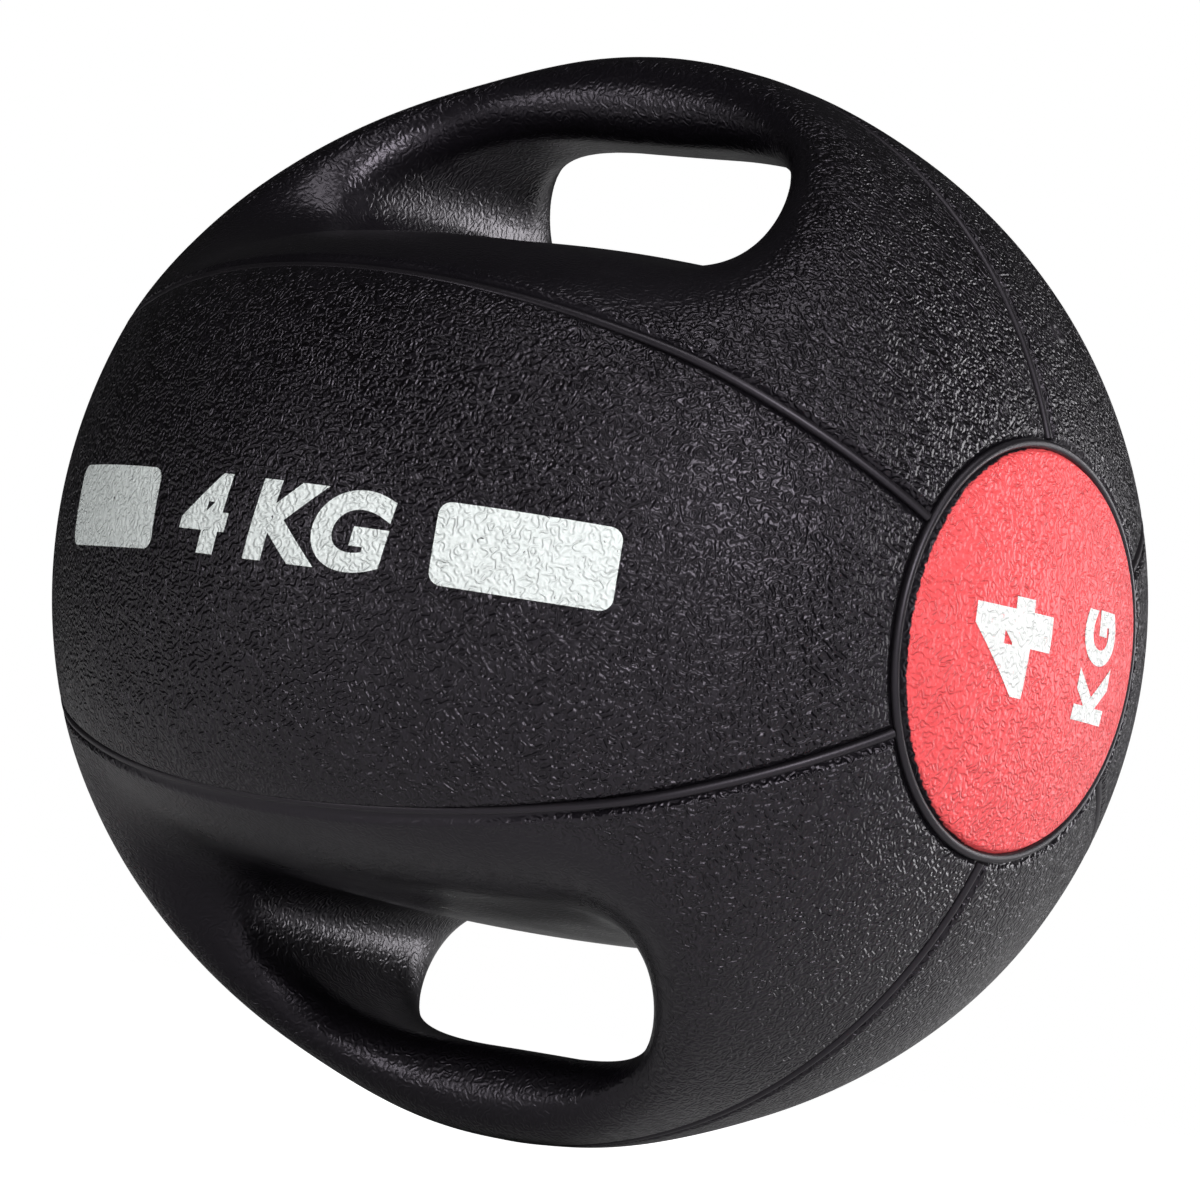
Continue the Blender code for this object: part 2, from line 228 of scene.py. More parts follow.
# %% A helper for nodes
def add_node(tree, kind, inputs=None, **settings):
    """A node with its settings. An input is a socket to link from, or a value."""
    node = tree.nodes.new(kind)
    for name, value in settings.items():
        setattr(node, name, value)
    for key, value in (inputs or {}).items():
        if isinstance(value, bpy.types.NodeSocket):
            tree.links.new(value, node.inputs[key])
        else:
            node.inputs[key].default_value = value
    return node


def math_of(tree, operation, *values):
    """The output of a Math node whose inputs are sockets or numbers."""
    inputs = {slot: value for slot, value in enumerate(values)}
    return add_node(tree, "ShaderNodeMath", inputs, operation=operation).outputs[0]


# %% Geometry Nodes: the volume that the skin encloses
BLOCK_SIZES = {"Ball Radius": BALL_RADIUS, "Grip Width": GRIP_WIDTH,
               "Underside Height": UNDERSIDE_HEIGHT, "Floor Height": FLOOR_HEIGHT,
               "Tunnel Length": TUNNEL_LENGTH, "Edge Blend": GRIP_EDGE_BLEND,
               "Root Blend": GRIP_ROOT_BLEND, "Corner Blend": TUNNEL_CORNER_BLEND}
VOLUME_STEPS = 116
HALF_FULL_SLOPE = 60.0        # fullness changes by this much per metre of height


def skin_block_tree():
    """A node tree that turns the height rule into a mesh, with its sizes as named inputs."""
    tree = bpy.data.node_groups.new("moulded skin block", "GeometryNodeTree")
    for name, value in BLOCK_SIZES.items():
        socket = tree.interface.new_socket(name, in_out="INPUT", socket_type="NodeSocketFloat")
        socket.default_value = value
    tree.interface.new_socket("Geometry", in_out="OUTPUT", socket_type="NodeSocketGeometry")
    given = add_node(tree, "NodeGroupInput").outputs
    place = add_node(tree, "GeometryNodeInputPosition").outputs[0]
    axes = add_node(tree, "ShaderNodeSeparateXYZ", {0: place}).outputs
    x, y, z = [math_of(tree, "ABSOLUTE", axis) for axis in axes]
    x_square = math_of(tree, "MULTIPLY", x, x)
    y_square = math_of(tree, "MULTIPLY", y, y)
    length = add_node(tree, "ShaderNodeVectorMath", {0: place}, operation="LENGTH").outputs["Value"]
    over_ball = math_of(tree, "SUBTRACT", length, given["Ball Radius"])
    fall = math_of(tree, "MULTIPLY_ADD", x_square, 0.5 / FLOOR_RADIUS_ALONG,
                   math_of(tree, "MULTIPLY", y_square, 0.5 / FLOOR_RADIUS_ACROSS))
    over_floor = math_of(tree, "SUBTRACT", math_of(tree, "SUBTRACT", given["Floor Height"], fall), z)
    wall = math_of(tree, "MULTIPLY_ADD", y_square, 0.5 / WALL_FLARE_RADIUS,
                   math_of(tree, "MULTIPLY", given["Tunnel Length"], 0.5))
    recess = math_of(tree, "SMOOTH_MAX", over_floor, math_of(tree, "SUBTRACT", x, wall),
                     given["Corner Blend"])
    side = math_of(tree, "MULTIPLY_ADD", x_square, 0.5 / GRIP_WAIST_RADIUS,
                   math_of(tree, "MULTIPLY", given["Grip Width"], 0.5))
    bar = math_of(tree, "SMOOTH_MAX", math_of(tree, "SUBTRACT", y, side),
                  math_of(tree, "SUBTRACT", given["Underside Height"], z), given["Edge Blend"])
    body = math_of(tree, "SMOOTH_MIN", math_of(tree, "MULTIPLY", recess, -1.0), bar,
                   given["Root Blend"])
    height = math_of(tree, "SMOOTH_MAX", over_ball, body, GRIP_TOP_BLEND)
    fullness = math_of(tree, "MULTIPLY_ADD", height, -HALF_FULL_SLOPE, 0.5)
    clamped = add_node(tree, "ShaderNodeClamp", {0: fullness}).outputs[0]
    reach = BALL_RADIUS * 1.04
    volume = add_node(tree, "GeometryNodeVolumeCube", {
        "Density": clamped, "Min": (-reach,) * 3, "Max": (reach,) * 3,
        "Resolution X": VOLUME_STEPS, "Resolution Y": VOLUME_STEPS, "Resolution Z": VOLUME_STEPS})
    surface = add_node(tree, "GeometryNodeVolumeToMesh",
                       {"Volume": volume.outputs[0], "Threshold": 0.5})
    real = add_node(tree, "GeometryNodeRealizeInstances", {0: surface.outputs[0]})
    add_node(tree, "NodeGroupOutput", {0: add_node(tree, "GeometryNodeSetMaterial",
                                                   {0: real.outputs[0]}).outputs[0]})
    return tree


def made_by_nodes(name, tree, mesh=None, values=None):
    """A plain mesh from a tree: the modifier's inputs are set first, then the result is copied."""
    carrier = bpy.data.objects.new(name, mesh or bpy.data.meshes.new(name))
    bpy.context.scene.collection.objects.link(carrier)
    modifier = carrier.modifiers.new("nodes", "NODES")
    modifier.node_group = tree
    for item in tree.interface.items_tree:
        if item.in_out == "INPUT" and item.name in (values or {}):
            modifier[item.identifier] = values[item.name]
    evaluated = carrier.evaluated_get(bpy.context.evaluated_depsgraph_get())
    result = bpy.data.meshes.new_from_object(evaluated)
    carrier.modifiers.remove(modifier)
    bpy.data.objects.remove(carrier)
    result.name = name
    return result


def settled(work):
    """Puts every vertex of a bmesh on the skin."""
    points = settle(np.array([vert.co[:] for vert in work.verts]))
    for vert, point in zip(work.verts, points):
        vert.co = point


skin_mesh = made_by_nodes("skin_block", skin_block_tree(), values=BLOCK_SIZES)
skin = bmesh.new()
skin.from_mesh(skin_mesh)
bmesh.ops.remove_doubles(skin, verts=skin.verts, dist=0.00002)
settled(skin)
bmesh.ops.recalc_face_normals(skin, faces=skin.faces)
print("skin quads:", len(skin.faces), "volume in litres:", round(skin.calc_volume() * 1000.0, 3))

# %% [markdown]
# ## Cover panels
# On the real ball the six panels are moulded from sheet rubber and bonded along the seams. Cutting
# the one skin by the seams' own planes gives edges that match exactly. Extra cuts at fixed
# distances from a seam give the channel enough loops, so its round sides are real shape. The share
# of grain is kept on the vertices for the material to read.

# %% Cut a piece out of the skin
CHANNEL_CUTS = (0.0005, 0.0010, 0.0015, 0.0020, 0.0025, 0.0030, 0.0038)


def ring_plane(side, offset):
    """A point on, and the normal of, the plane across the X axis at a distance from a label ring."""
    x = BALL_RADIUS * math.cos(LABEL_ANGLE + offset / BALL_RADIUS)
    return (side * x, 0.0, 0.0), (side, 0.0, 0.0)


def split(work, point, normal, keep_below=False, keep_above=False):
    bmesh.ops.bisect_plane(work, geom=work.verts[:] + work.edges[:] + work.faces[:], dist=0.000002,
                           plane_co=point, plane_no=normal, clear_outer=keep_below,
                           clear_inner=keep_above)


def object_of(work, name, material):
    mesh = bpy.data.meshes.new(name)
    work.to_mesh(mesh)
    work.free()
    made = bpy.data.objects.new(name, mesh)
    bpy.context.scene.collection.objects.link(made)
    mesh.materials.append(material)
    mesh.shade_smooth()
    return made


def number_on(mesh, name, values):
    layer = mesh.attributes.new(name, "FLOAT", "POINT")
    layer.data.foreach_set("value", np.asarray(values, dtype=np.float32))


def pressed(work, name, material):
    """Refines a piece of skin, presses the seam channels in, and notes the grain's strength."""
    settled(work)
    points, channel = sunk(np.array([vert.co[:] for vert in work.verts]))
    grain = texture_share(points, channel)
    for vert, point in zip(work.verts, points):
        vert.co = point
    made = object_of(work, name, material)
    number_on(made.data, "grain", grain)
    return made


def panel_of(name, seams, material):
    """A panel between two seams. Each seam is its normal and the side of it the panel is on."""
    work = skin.copy()
    for normal, side in seams:
        split(work, (0.0, 0.0, 0.0), normal * side, keep_above=True)
    for side in (1.0, -1.0):
        split(work, *ring_plane(side, 0.0), keep_below=True)
    bmesh.ops.subdivide_edges(work, edges=work.edges, cuts=1, use_grid_fill=True)
    for offset in CHANNEL_CUTS:
        for normal, side in seams:
            split(work, tuple(normal * side * offset), normal)
        for side in (1.0, -1.0):
            split(work, *ring_plane(side, offset))
    return pressed(work, name, material)


def cap_of(name, side, material):
    """A label cap: the skin inside a label ring."""
    work = skin.copy()
    split(work, *ring_plane(side, 0.0), keep_above=True)
    bmesh.ops.subdivide_edges(work, edges=work.edges, cuts=1, use_grid_fill=True)
    for offset in CHANNEL_CUTS:
        split(work, *ring_plane(side, -offset))
    return pressed(work, name, material)


# %% [markdown]
# ## Moulded black rubber
# The cover is a black SBR-type rubber, moulded in a steel tool with an etched, leather-like grain:
# short wrinkles under a millimetre wide that wander and join. Bands of equal height in a smooth
# noise wander just like that, so a sine of the noise draws them. A finer layer gives the dull
# sparkle on their tops. The grain fades in the scoops and on the bars, where the tool was only
# blasted, and stops in the channels.

# The creases of the grain are also coloured darker than its tops, as painted shade.
# %% Colours and the grain
def hex_colour(text):
    """An sRGB hex colour as linear RGBA."""
    parts = [int(text[k:k + 2], 16) / 255.0 for k in (0, 2, 4)]
    linear = [c / 12.92 if c <= 0.04045 else ((c + 0.055) / 1.055) ** 2.4 for c in parts]
    return (*linear, 1.0)


WRINKLE_FIELD_MM = 2.5       # size of the noise that the bands are drawn from
WRINKLE_BANDS = 4.2          # bands over the noise's range, which makes each about 0.7 mm wide
FINE_MM = 0.7
WRINKLE_HEIGHT = 0.00042     # metres
FINE_HEIGHT = 0.00010
GLOSS_TINT = "F4EAFA"        # carbon black with oil in it shines faintly violet


def per_metre(size_mm):
    """A texture scale that gives a feature of this size on a model in metres."""
    return 1000.0 / size_mm


def grain_height(tree):
    """The wrinkles, 0 in the creases to 1 on the tops, and the place, as output sockets."""
    place = add_node(tree, "ShaderNodeTexCoord").outputs["Object"]
    field = add_node(tree, "ShaderNodeTexNoise", {"Vector": place, "Detail": 1.0, "Roughness": 0.45,
                                                  "Scale": per_metre(WRINKLE_FIELD_MM)})
    phase = math_of(tree, "MULTIPLY", field.outputs["Fac"], WRINKLE_BANDS * 2.0 * math.pi)
    wave = math_of(tree, "SINE", phase)
    return math_of(tree, "MULTIPLY_ADD", wave, 0.5, 0.5), place


def rubber_finish(name, colour, painted_crease_shade, roughness, specular=0.5):
    """Moulded rubber with the etched grain and painted shade in its creases. It reads the share of
    grain from the vertices.
    """
    material = bpy.data.materials.new(name)
    material.use_nodes = True
    tree = material.node_tree
    shader = tree.nodes["Principled BSDF"]
    wrinkle, place = grain_height(tree)
    share = add_node(tree, "ShaderNodeAttribute", attribute_name="grain").outputs["Fac"]
    fine = add_node(tree, "ShaderNodeTexNoise", {"Vector": place, "Scale": per_metre(FINE_MM),
                                                 "Detail": 3.0})
    cloud = add_node(tree, "ShaderNodeTexNoise", {"Vector": place, "Scale": per_metre(28.0),
                                                  "Detail": 3.0})
    raised = math_of(tree, "MULTIPLY", wrinkle, share)
    fine_share = math_of(tree, "MULTIPLY_ADD", share, 0.75, 0.25)
    fine_height = math_of(tree, "MULTIPLY", fine.outputs["Fac"], fine_share)
    bump = add_node(tree, "ShaderNodeBump", {"Height": raised, "Distance": WRINKLE_HEIGHT,
                                             "Strength": 1.0})
    fine_bump = add_node(tree, "ShaderNodeBump", {"Height": fine_height, "Distance": FINE_HEIGHT,
                                                  "Strength": 1.0, "Normal": bump.outputs[0]})
    tree.links.new(fine_bump.outputs[0], shader.inputs["Normal"])
    # Painted shade: the grain's creases are mixed towards a darker colour, as far as the grain's share
    # goes.
    crease = math_of(tree, "MULTIPLY", math_of(tree, "SUBTRACT", 1.0, wrinkle), share)
    tint = add_node(tree, "ShaderNodeMix", {0: crease, 6: hex_colour(colour),
                                            7: hex_colour(painted_crease_shade)}, data_type="RGBA")
    tree.links.new(tint.outputs[2], shader.inputs["Base Color"])
    uneven = add_node(tree, "ShaderNodeMapRange", {"Value": cloud.outputs["Fac"], 1: 0.3, 2: 0.7,
                                                   3: roughness - 0.05, 4: roughness + 0.06})
    tree.links.new(uneven.outputs[0], shader.inputs["Roughness"])
    shader.inputs["Specular IOR Level"].default_value = specular
    shader.inputs["Specular Tint"].default_value = hex_colour(GLOSS_TINT)
    return material


# The second colour, 030203, is painted shade for the creases of the grain.
cover_rubber = rubber_finish("moulded_black_sbr_rubber", "0F0D11", "030203", 0.31, 0.50)
print("material:", cover_rubber.name)

# %% Make the six panels
low, high = SEAM_NORMALS["lower"], SEAM_NORMALS["upper"]
middle = SEAM_NORMALS["grip"]
PANEL_PLAN = {
    "front_panel": ((high, -1.0), (low, 1.0)),
    "rear_panel": ((high, 1.0), (low, -1.0)),
    "upper_front_panel": ((high, 1.0), (middle, -1.0)),
    "upper_rear_panel": ((low, 1.0), (middle, 1.0)),
    "lower_front_panel": ((low, -1.0), (middle, -1.0)),
    "lower_rear_panel": ((high, -1.0), (middle, 1.0)),
}
for name, seams in PANEL_PLAN.items():
    panel = panel_of(f"{name}_cover", seams, cover_rubber)
    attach(panel, BODY)
    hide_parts(name)
    print(panel.name, "faces:", len(panel.data.polygons))

# %% [markdown]
# ## Label caps
# The caps are moulded in the same rubber with the same grain, and their tops are painted red through
# a stencil that sits a little off centre, so a thin black crescent shows at one edge. Paint doesn't
# reach the bottom of every crease and breaks up at its border. Both follow from one mask in the
# material: inside the stencil's circle, with the border shaken by noise of a millimetre or two.

# %% Red stencil paint
PAINT_RADIUS = 0.0465
PAINT_RAGGED = 0.0008              # how far the border wanders
PAINT_SHIFT = (0.0, 0.0010, 0.0)   # the stencil sits this far to the rear


def stencil_paint(name, paint, rubber_colour):
    # The second colour, 0C0B0D, is painted shade for the creases of the grain on the bare rubber.
    material = rubber_finish(name, rubber_colour, "0C0B0D", 0.46)
    tree = material.node_tree
    shader = tree.nodes["Principled BSDF"]
    rubber_tint = shader.inputs["Base Color"].links[0].from_socket
    wrinkle, place = grain_height(tree)
    flat = add_node(tree, "ShaderNodeVectorMath", {0: place, 1: (0.0, 1.0, 1.0)},
                    operation="MULTIPLY")
    centred = add_node(tree, "ShaderNodeVectorMath", {0: flat.outputs[0], 1: PAINT_SHIFT},
                       operation="SUBTRACT")
    radius = add_node(tree, "ShaderNodeVectorMath", {0: centred.outputs[0]},
                      operation="LENGTH").outputs["Value"]
    ragged = add_node(tree, "ShaderNodeTexNoise", {"Vector": place, "Scale": per_metre(1.6),
                                                   "Detail": 3.0}).outputs["Fac"]
    edge = math_of(tree, "MULTIPLY_ADD", math_of(tree, "SUBTRACT", ragged, 0.5), PAINT_RAGGED, radius)
    inside = add_node(tree, "ShaderNodeMapRange", {"Value": edge, 1: PAINT_RADIUS + 0.0001,
                                                   2: PAINT_RADIUS - 0.0001}).outputs[0]
    thin = add_node(tree, "ShaderNodeMapRange", {"Value": wrinkle, 1: 0.0, 2: 0.2, 3: 0.93, 4: 1.0})
    cover = math_of(tree, "MULTIPLY", inside, thin.outputs[0])
    mixed = add_node(tree, "ShaderNodeMix", {0: cover, 6: rubber_tint, 7: hex_colour(paint)},
                     data_type="RGBA")
    tree.links.new(mixed.outputs[2], shader.inputs["Base Color"])
    return material


red_paint = stencil_paint("red_stencil_paint_on_rubber", "FF575A", "0F0D11")
for name, side in (("label_disc_right", 1.0), ("label_disc_left", -1.0)):
    cap = cap_of(f"{name}_cap", side, red_paint)
    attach(cap, BODY)
    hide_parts(name)
    print(cap.name, "faces:", len(cap.data.polygons))

# %% [markdown]
# ## Beads in the seams
# A thin round bead of smooth rubber lies at the bottom of each channel, where flash from the joint
# was trimmed. It follows a path, so Geometry Nodes sweeps a small circle along a chain of points
# that were settled on the skin. The same tree makes the six seams and the two rings.

# %% Geometry Nodes: sweep a bead along a chain of points
BEAD_SINK = CHANNEL_DEPTH - BEAD_RADIUS * 0.45   # the bead's middle below the flat skin


def bead_tree(material):
    tree = bpy.data.node_groups.new("seam bead", "GeometryNodeTree")
    tree.interface.new_socket("Geometry", in_out="INPUT", socket_type="NodeSocketGeometry")
    size = tree.interface.new_socket("Bead Radius", in_out="INPUT", socket_type="NodeSocketFloat")
    size.default_value = BEAD_RADIUS
    tree.interface.new_socket("Geometry", in_out="OUTPUT", socket_type="NodeSocketGeometry")
    given = add_node(tree, "NodeGroupInput").outputs
    path = add_node(tree, "GeometryNodeMeshToCurve", {0: given["Geometry"]})
    ring = add_node(tree, "GeometryNodeCurvePrimitiveCircle", {"Resolution": 12,
                                                              "Radius": given["Bead Radius"]})
    swept = add_node(tree, "GeometryNodeCurveToMesh", {0: path.outputs[0], 1: ring.outputs[0],
                                                       "Fill Caps": True})
    real = add_node(tree, "GeometryNodeRealizeInstances", {0: swept.outputs[0]})
    done = add_node(tree, "GeometryNodeSetMaterial", {0: real.outputs[0], "Material": material})
    add_node(tree, "NodeGroupOutput", {0: done.outputs[0]})
    return tree


def chain(points, closed):
    """A mesh of edges only, through the points in order."""
    count = len(points)
    edges = [(k, k + 1) for k in range(count - 1)]
    if closed:
        edges.append((count - 1, 0))
    mesh = bpy.data.meshes.new("chain")
    mesh.from_pydata([tuple(point) for point in points], edges, [])
    return mesh


def lowered(points, depth):
    slope = skin_slope(points)
    return points - slope / np.linalg.norm(slope, axis=1)[:, None] * depth


def on_ball(polar, turn):
    """A point on the ball at a polar angle from +X, turned from the front towards the top."""
    return np.array((np.cos(polar), -np.sin(polar) * math.cos(turn),
                     np.sin(polar) * math.sin(turn))).T * BALL_RADIUS


smooth_rubber = rubber_finish("trimmed_smooth_black_rubber", "151316", "151316", 0.42)
beads = bead_tree(smooth_rubber)
SEAM_TURNS = {"upper_front": 30.0, "grip_upper": 90.0, "upper_rear": 150.0,
              "lower_rear": 210.0, "grip_lower": 270.0, "lower_front": 330.0}
clear = LABEL_ANGLE + (CHANNEL_REACH + BEAD_RADIUS) * 0.35 / BALL_RADIUS
for name, turn in SEAM_TURNS.items():
    polar = np.linspace(clear, math.pi - clear, 161)
    arc = lowered(settle(on_ball(polar, math.radians(turn))), BEAD_SINK)
    bead_mesh = made_by_nodes(f"{name}_seam_bead", beads, chain(arc, False))
    bead = bpy.data.objects.new(f"{name}_seam_bead", bead_mesh)
    bpy.context.scene.collection.objects.link(bead)
    bead_mesh.shade_smooth()
    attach(bead, BODY)
for name, side in (("right", 1.0), ("left", -1.0)):
    turns = np.linspace(0.0, 2.0 * math.pi, 128, endpoint=False)
    circle = np.array((np.full_like(turns, side * math.cos(LABEL_ANGLE)),
                       math.sin(LABEL_ANGLE) * np.cos(turns),
                       math.sin(LABEL_ANGLE) * np.sin(turns))).T * (BALL_RADIUS - BEAD_SINK)
    bead_mesh = made_by_nodes(f"{name}_ring_bead", beads, chain(circle, True))
    bead = bpy.data.objects.new(f"{name}_ring_bead", bead_mesh)
    bpy.context.scene.collection.objects.link(bead)
    bead_mesh.shade_smooth()
    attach(bead, BODY)
print("beads:", len(SEAM_TURNS) + 2, "radius in mm:", BEAD_RADIUS * 1000.0)

# %% [markdown]
# ## Print
# The number and the unit on the caps, and the plain mark on the front panel, are screen-printed white
# ink. The real ink has no thickness to speak of, so each mark is a flat outline wrapped onto the
# skin, a tenth of a millimetre proud. It shares the cover's grain, and its material leaves
# the creases bare, as a squeegee does.

# %% White ink on the grain
INK_LIFT = 0.00010
WRAP_STEP = 0.0015


def screen_ink(name, colour, bare):
    material = rubber_finish(name, colour, colour, 0.48)
    tree = material.node_tree
    shader = tree.nodes["Principled BSDF"]
    wrinkle, place = grain_height(tree)
    speckle = add_node(tree, "ShaderNodeTexNoise", {"Vector": place, "Scale": per_metre(2.4),
                                                    "Detail": 4.0}).outputs["Fac"]
    reach = math_of(tree, "MULTIPLY_ADD", speckle, 0.9, wrinkle)
    held = add_node(tree, "ShaderNodeMapRange", {"Value": reach, 1: 0.28, 2: 0.36}).outputs[0]
    mixed = add_node(tree, "ShaderNodeMix", {0: held, 6: hex_colour(bare), 7: hex_colour(colour)},
                     data_type="RGBA")
    tree.links.new(mixed.outputs[2], shader.inputs["Base Color"])
    return material


def letters(text, height, width, growth, slant=0.0, spacing=1.0):
    """Flat text as a bmesh, scaled to a height and a width and centred. Growth thickens strokes."""
    curve = bpy.data.curves.new("letters", "FONT")
    curve.body = text
    curve.offset = growth
    curve.shear = slant
    curve.space_character = spacing
    carrier = bpy.data.objects.new("letters", curve)
    bpy.context.scene.collection.objects.link(carrier)
    flat = bpy.data.meshes.new_from_object(carrier.evaluated_get(
        bpy.context.evaluated_depsgraph_get()))
    bpy.data.objects.remove(carrier)
    work = bmesh.new()
    work.from_mesh(flat)
    low = Vector(min(vert.co[k] for vert in work.verts) for k in range(3))
    high = Vector(max(vert.co[k] for vert in work.verts) for k in range(3))
    middle_of_text = (low + high) / 2.0
    for vert in work.verts:
        vert.co = Vector(((vert.co.x - middle_of_text.x) * width / (high.x - low.x),
                          (vert.co.y - middle_of_text.y) * height / (high.y - low.y), 0.0))
    return work


def rounded_bar(width, height, corner, steps=6):
    """A flat bar with round corners, as a bmesh centred on the origin."""
    work = bmesh.new()
    loop = []
    for k, (side_x, side_y) in enumerate(((1, 1), (-1, 1), (-1, -1), (1, -1))):
        for step in range(steps + 1):
            angle = math.pi / 2.0 * (k + step / steps)
            loop.append(work.verts.new((side_x * (width / 2.0 - corner) + corner * math.cos(angle),
                                        side_y * (height / 2.0 - corner) + corner * math.sin(angle),
                                        0.0)))
    work.faces.new(loop)
    return work


def wrapped(work, name, place, reading, up, material):
    """A flat mark wrapped onto the ball round a place, with its reading and up directions."""
    low = [min(vert.co[k] for vert in work.verts) for k in range(2)]
    high = [max(vert.co[k] for vert in work.verts) for k in range(2)]
    bmesh.ops.dissolve_limit(work, angle_limit=0.001, verts=work.verts, edges=work.edges)
    for axis in range(2):
        normal = (1.0, 0.0, 0.0) if axis == 0 else (0.0, 1.0, 0.0)
        for cut in np.arange(low[axis] + WRAP_STEP, high[axis], WRAP_STEP):
            split(work, tuple(cut * n for n in normal), normal)
    bmesh.ops.triangulate(work, faces=work.faces)
    place, reading, up = (Vector(v).normalized() for v in (place, reading, up))
    points = []
    for vert in work.verts:
        across, along = vert.co.x / BALL_RADIUS, vert.co.y / BALL_RADIUS
        turned = Matrix.Rotation(across, 3, place.cross(reading)) @ place
        rise = Matrix.Rotation(along, 3, place.cross(up))
        points.append(rise @ turned)
    points = settle(np.array([point[:] for point in points]) * BALL_RADIUS)
    slope = skin_slope(points)
    points = points + slope / np.linalg.norm(slope, axis=1)[:, None] * INK_LIFT
    for vert, point in zip(work.verts, points):
        vert.co = point
    bmesh.ops.recalc_face_normals(work, faces=work.faces)
    if sum(face.normal.dot(face.calc_center_median()) * face.calc_area() for face in work.faces) < 0:
        bmesh.ops.reverse_faces(work, faces=work.faces)
    made = object_of(work, name, material)
    number_on(made.data, "grain", np.full(len(made.data.vertices), 0.9))
    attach(made, BODY)
    return made


cap_ink = screen_ink("white_screen_ink_on_red", "F4F6F4", "F3B4B2")
panel_ink = screen_ink("white_screen_ink_on_black", "EEF4F2", "2A282C")
CAP_MARKS = (("4", 0.0270, 0.0228, -0.0150, 1.0), ("KG", 0.0172, 0.0262, 0.0215, 1.25))
for side, side_name in ((1.0, "right"), (-1.0, "left")):
    for text, height, width, toward_rear, spacing in CAP_MARKS:
        spot = (side * math.sqrt(BALL_RADIUS ** 2 - toward_rear ** 2), side * toward_rear, 0.0)
        flat_mark = letters(text, height, width, 0.055, spacing=spacing)
        mark = wrapped(flat_mark, f"{side_name}_cap_{text.lower()}_print",
                       spot, (0.0, 0.0, 1.0), (0.0, -side, 0.0), cap_ink)

PRINT_HEIGHT = 0.0190
PRINT_PLAN = (("bar", -0.0560, 0.0420), ("4 KG", 0.0050, 0.0600), ("bar", 0.0660, 0.0420))
for k, (text, along_x, width) in enumerate(PRINT_PLAN):
    turn = along_x / BALL_RADIUS
    if text == "bar":
        flat_mark = rounded_bar(width, PRINT_HEIGHT, 0.0030)
    else:
        flat_mark = letters(text, PRINT_HEIGHT, width, 0.050, slant=0.15)
    mark = wrapped(flat_mark, f"front_print_{k + 1}", (math.sin(turn), -math.cos(turn), 0.0),
                   (math.cos(turn), math.sin(turn), 0.0), (0.0, 0.0, 1.0), panel_ink)
    print(mark.name, "faces:", len(mark.data.polygons))

# %% [markdown]
# ## Valve rim
# The inflation needle goes in through a small moulded eyelet beside the upper seam. It is a ring
# turned about the valve's axis: a low lip round a dark hole.

# %% Turn the eyelet
valve_low, valve_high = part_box("valve_plug")
valve_axis = ((valve_low + valve_high) / 2.0).normalized()
EYELET = ((0.0009, -0.0030), (0.0011, -0.0002), (0.0015, 0.0003), (0.0022, 0.0004),
          (0.0029, 0.0001), (0.0033, -0.0005))
EYELET_STEPS = 40
work = bmesh.new()
seat = Vector(settle(np.array([valve_axis[:]]) * BALL_RADIUS)[0])
stand = valve_axis.to_track_quat("Z", "Y").to_matrix()
loops = []
for radius, rise in EYELET:
    loop = []
    for step in range(EYELET_STEPS):
        angle = 2.0 * math.pi * step / EYELET_STEPS
        loop.append(work.verts.new(seat + stand @ Vector((radius * math.cos(angle),
                                                          radius * math.sin(angle), rise))))
    loops.append(loop)
for inner, outer in zip(loops, loops[1:]):
    for k in range(EYELET_STEPS):
        n = (k + 1) % EYELET_STEPS
        work.faces.new((inner[k], outer[k], outer[n], inner[n]))
work.faces.new(reversed(loops[0]))
eyelet = object_of(work, "valve_eyelet", smooth_rubber)
number_on(eyelet.data, "grain", np.zeros(len(eyelet.data.vertices)))
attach(eyelet, BODY)
print("eyelet on axis:", [round(c, 3) for c in valve_axis])

# %% [markdown]
# ## The inside
# Under the cover lie the two halves of the weight layer, the grips' cores, the bladder and the valve.
# They can't be seen in use, but they stay in the model. The weight layer is made again here, because
# its CAD form has sharp shoulders: a copy is refined and drawn in to a fixed depth under the skin.

# %% Finish of the inner rubbers
def plain_rubber(name, colour, roughness, crumb_mm, crumb_height):
    """A pressed rubber with a fine crumb, for pieces that no one sees."""
    material = bpy.data.materials.new(name)
    material.use_nodes = True
    tree = material.node_tree
    shader = tree.nodes["Principled BSDF"]
    place = add_node(tree, "ShaderNodeTexCoord").outputs["Object"]
    crumb = add_node(tree, "ShaderNodeTexNoise", {"Vector": place, "Scale": per_metre(crumb_mm),
                                                  "Detail": 4.0}).outputs["Fac"]
    bump = add_node(tree, "ShaderNodeBump", {"Height": crumb, "Distance": crumb_height})
    tree.links.new(bump.outputs[0], shader.inputs["Normal"])
    light, dark = hex_colour(colour[0]), hex_colour(colour[1])
    tint = add_node(tree, "ShaderNodeMix", {0: crumb, 6: dark, 7: light}, data_type="RGBA")
    tree.links.new(tint.outputs[2], shader.inputs["Base Color"])
    shader.inputs["Roughness"].default_value = roughness
    return material


weight_layer = plain_rubber("pressed_granulate_rubber", ("4A484C", "2C2B2E"), 0.85, 2.5, 0.0003)
grip_core = plain_rubber("solid_core_rubber", ("3A383C", "2A282C"), 0.70, 1.2, 0.0001)
butyl = plain_rubber("butyl_bladder_rubber", ("242225", "1A191B"), 0.42, 6.0, 0.0001)
valve_rubber = plain_rubber("soft_valve_rubber", ("6B6258", "554D45"), 0.55, 0.8, 0.00005)
plug_rubber = plain_rubber("latex_plug_rubber", ("A08A62", "8A7550"), 0.55, 0.8, 0.00005)
INSIDE = {"bladder": butyl, "valve_body": valve_rubber, "valve_plug": plug_rubber}
for name, material in INSIDE.items():
    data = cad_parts[name].data
    data.materials.clear()
    data.materials.append(material)

WEIGHT_DEPTH = 0.0046        # the least depth of the weight layer under the skin
REFINE_LENGTH = 0.006


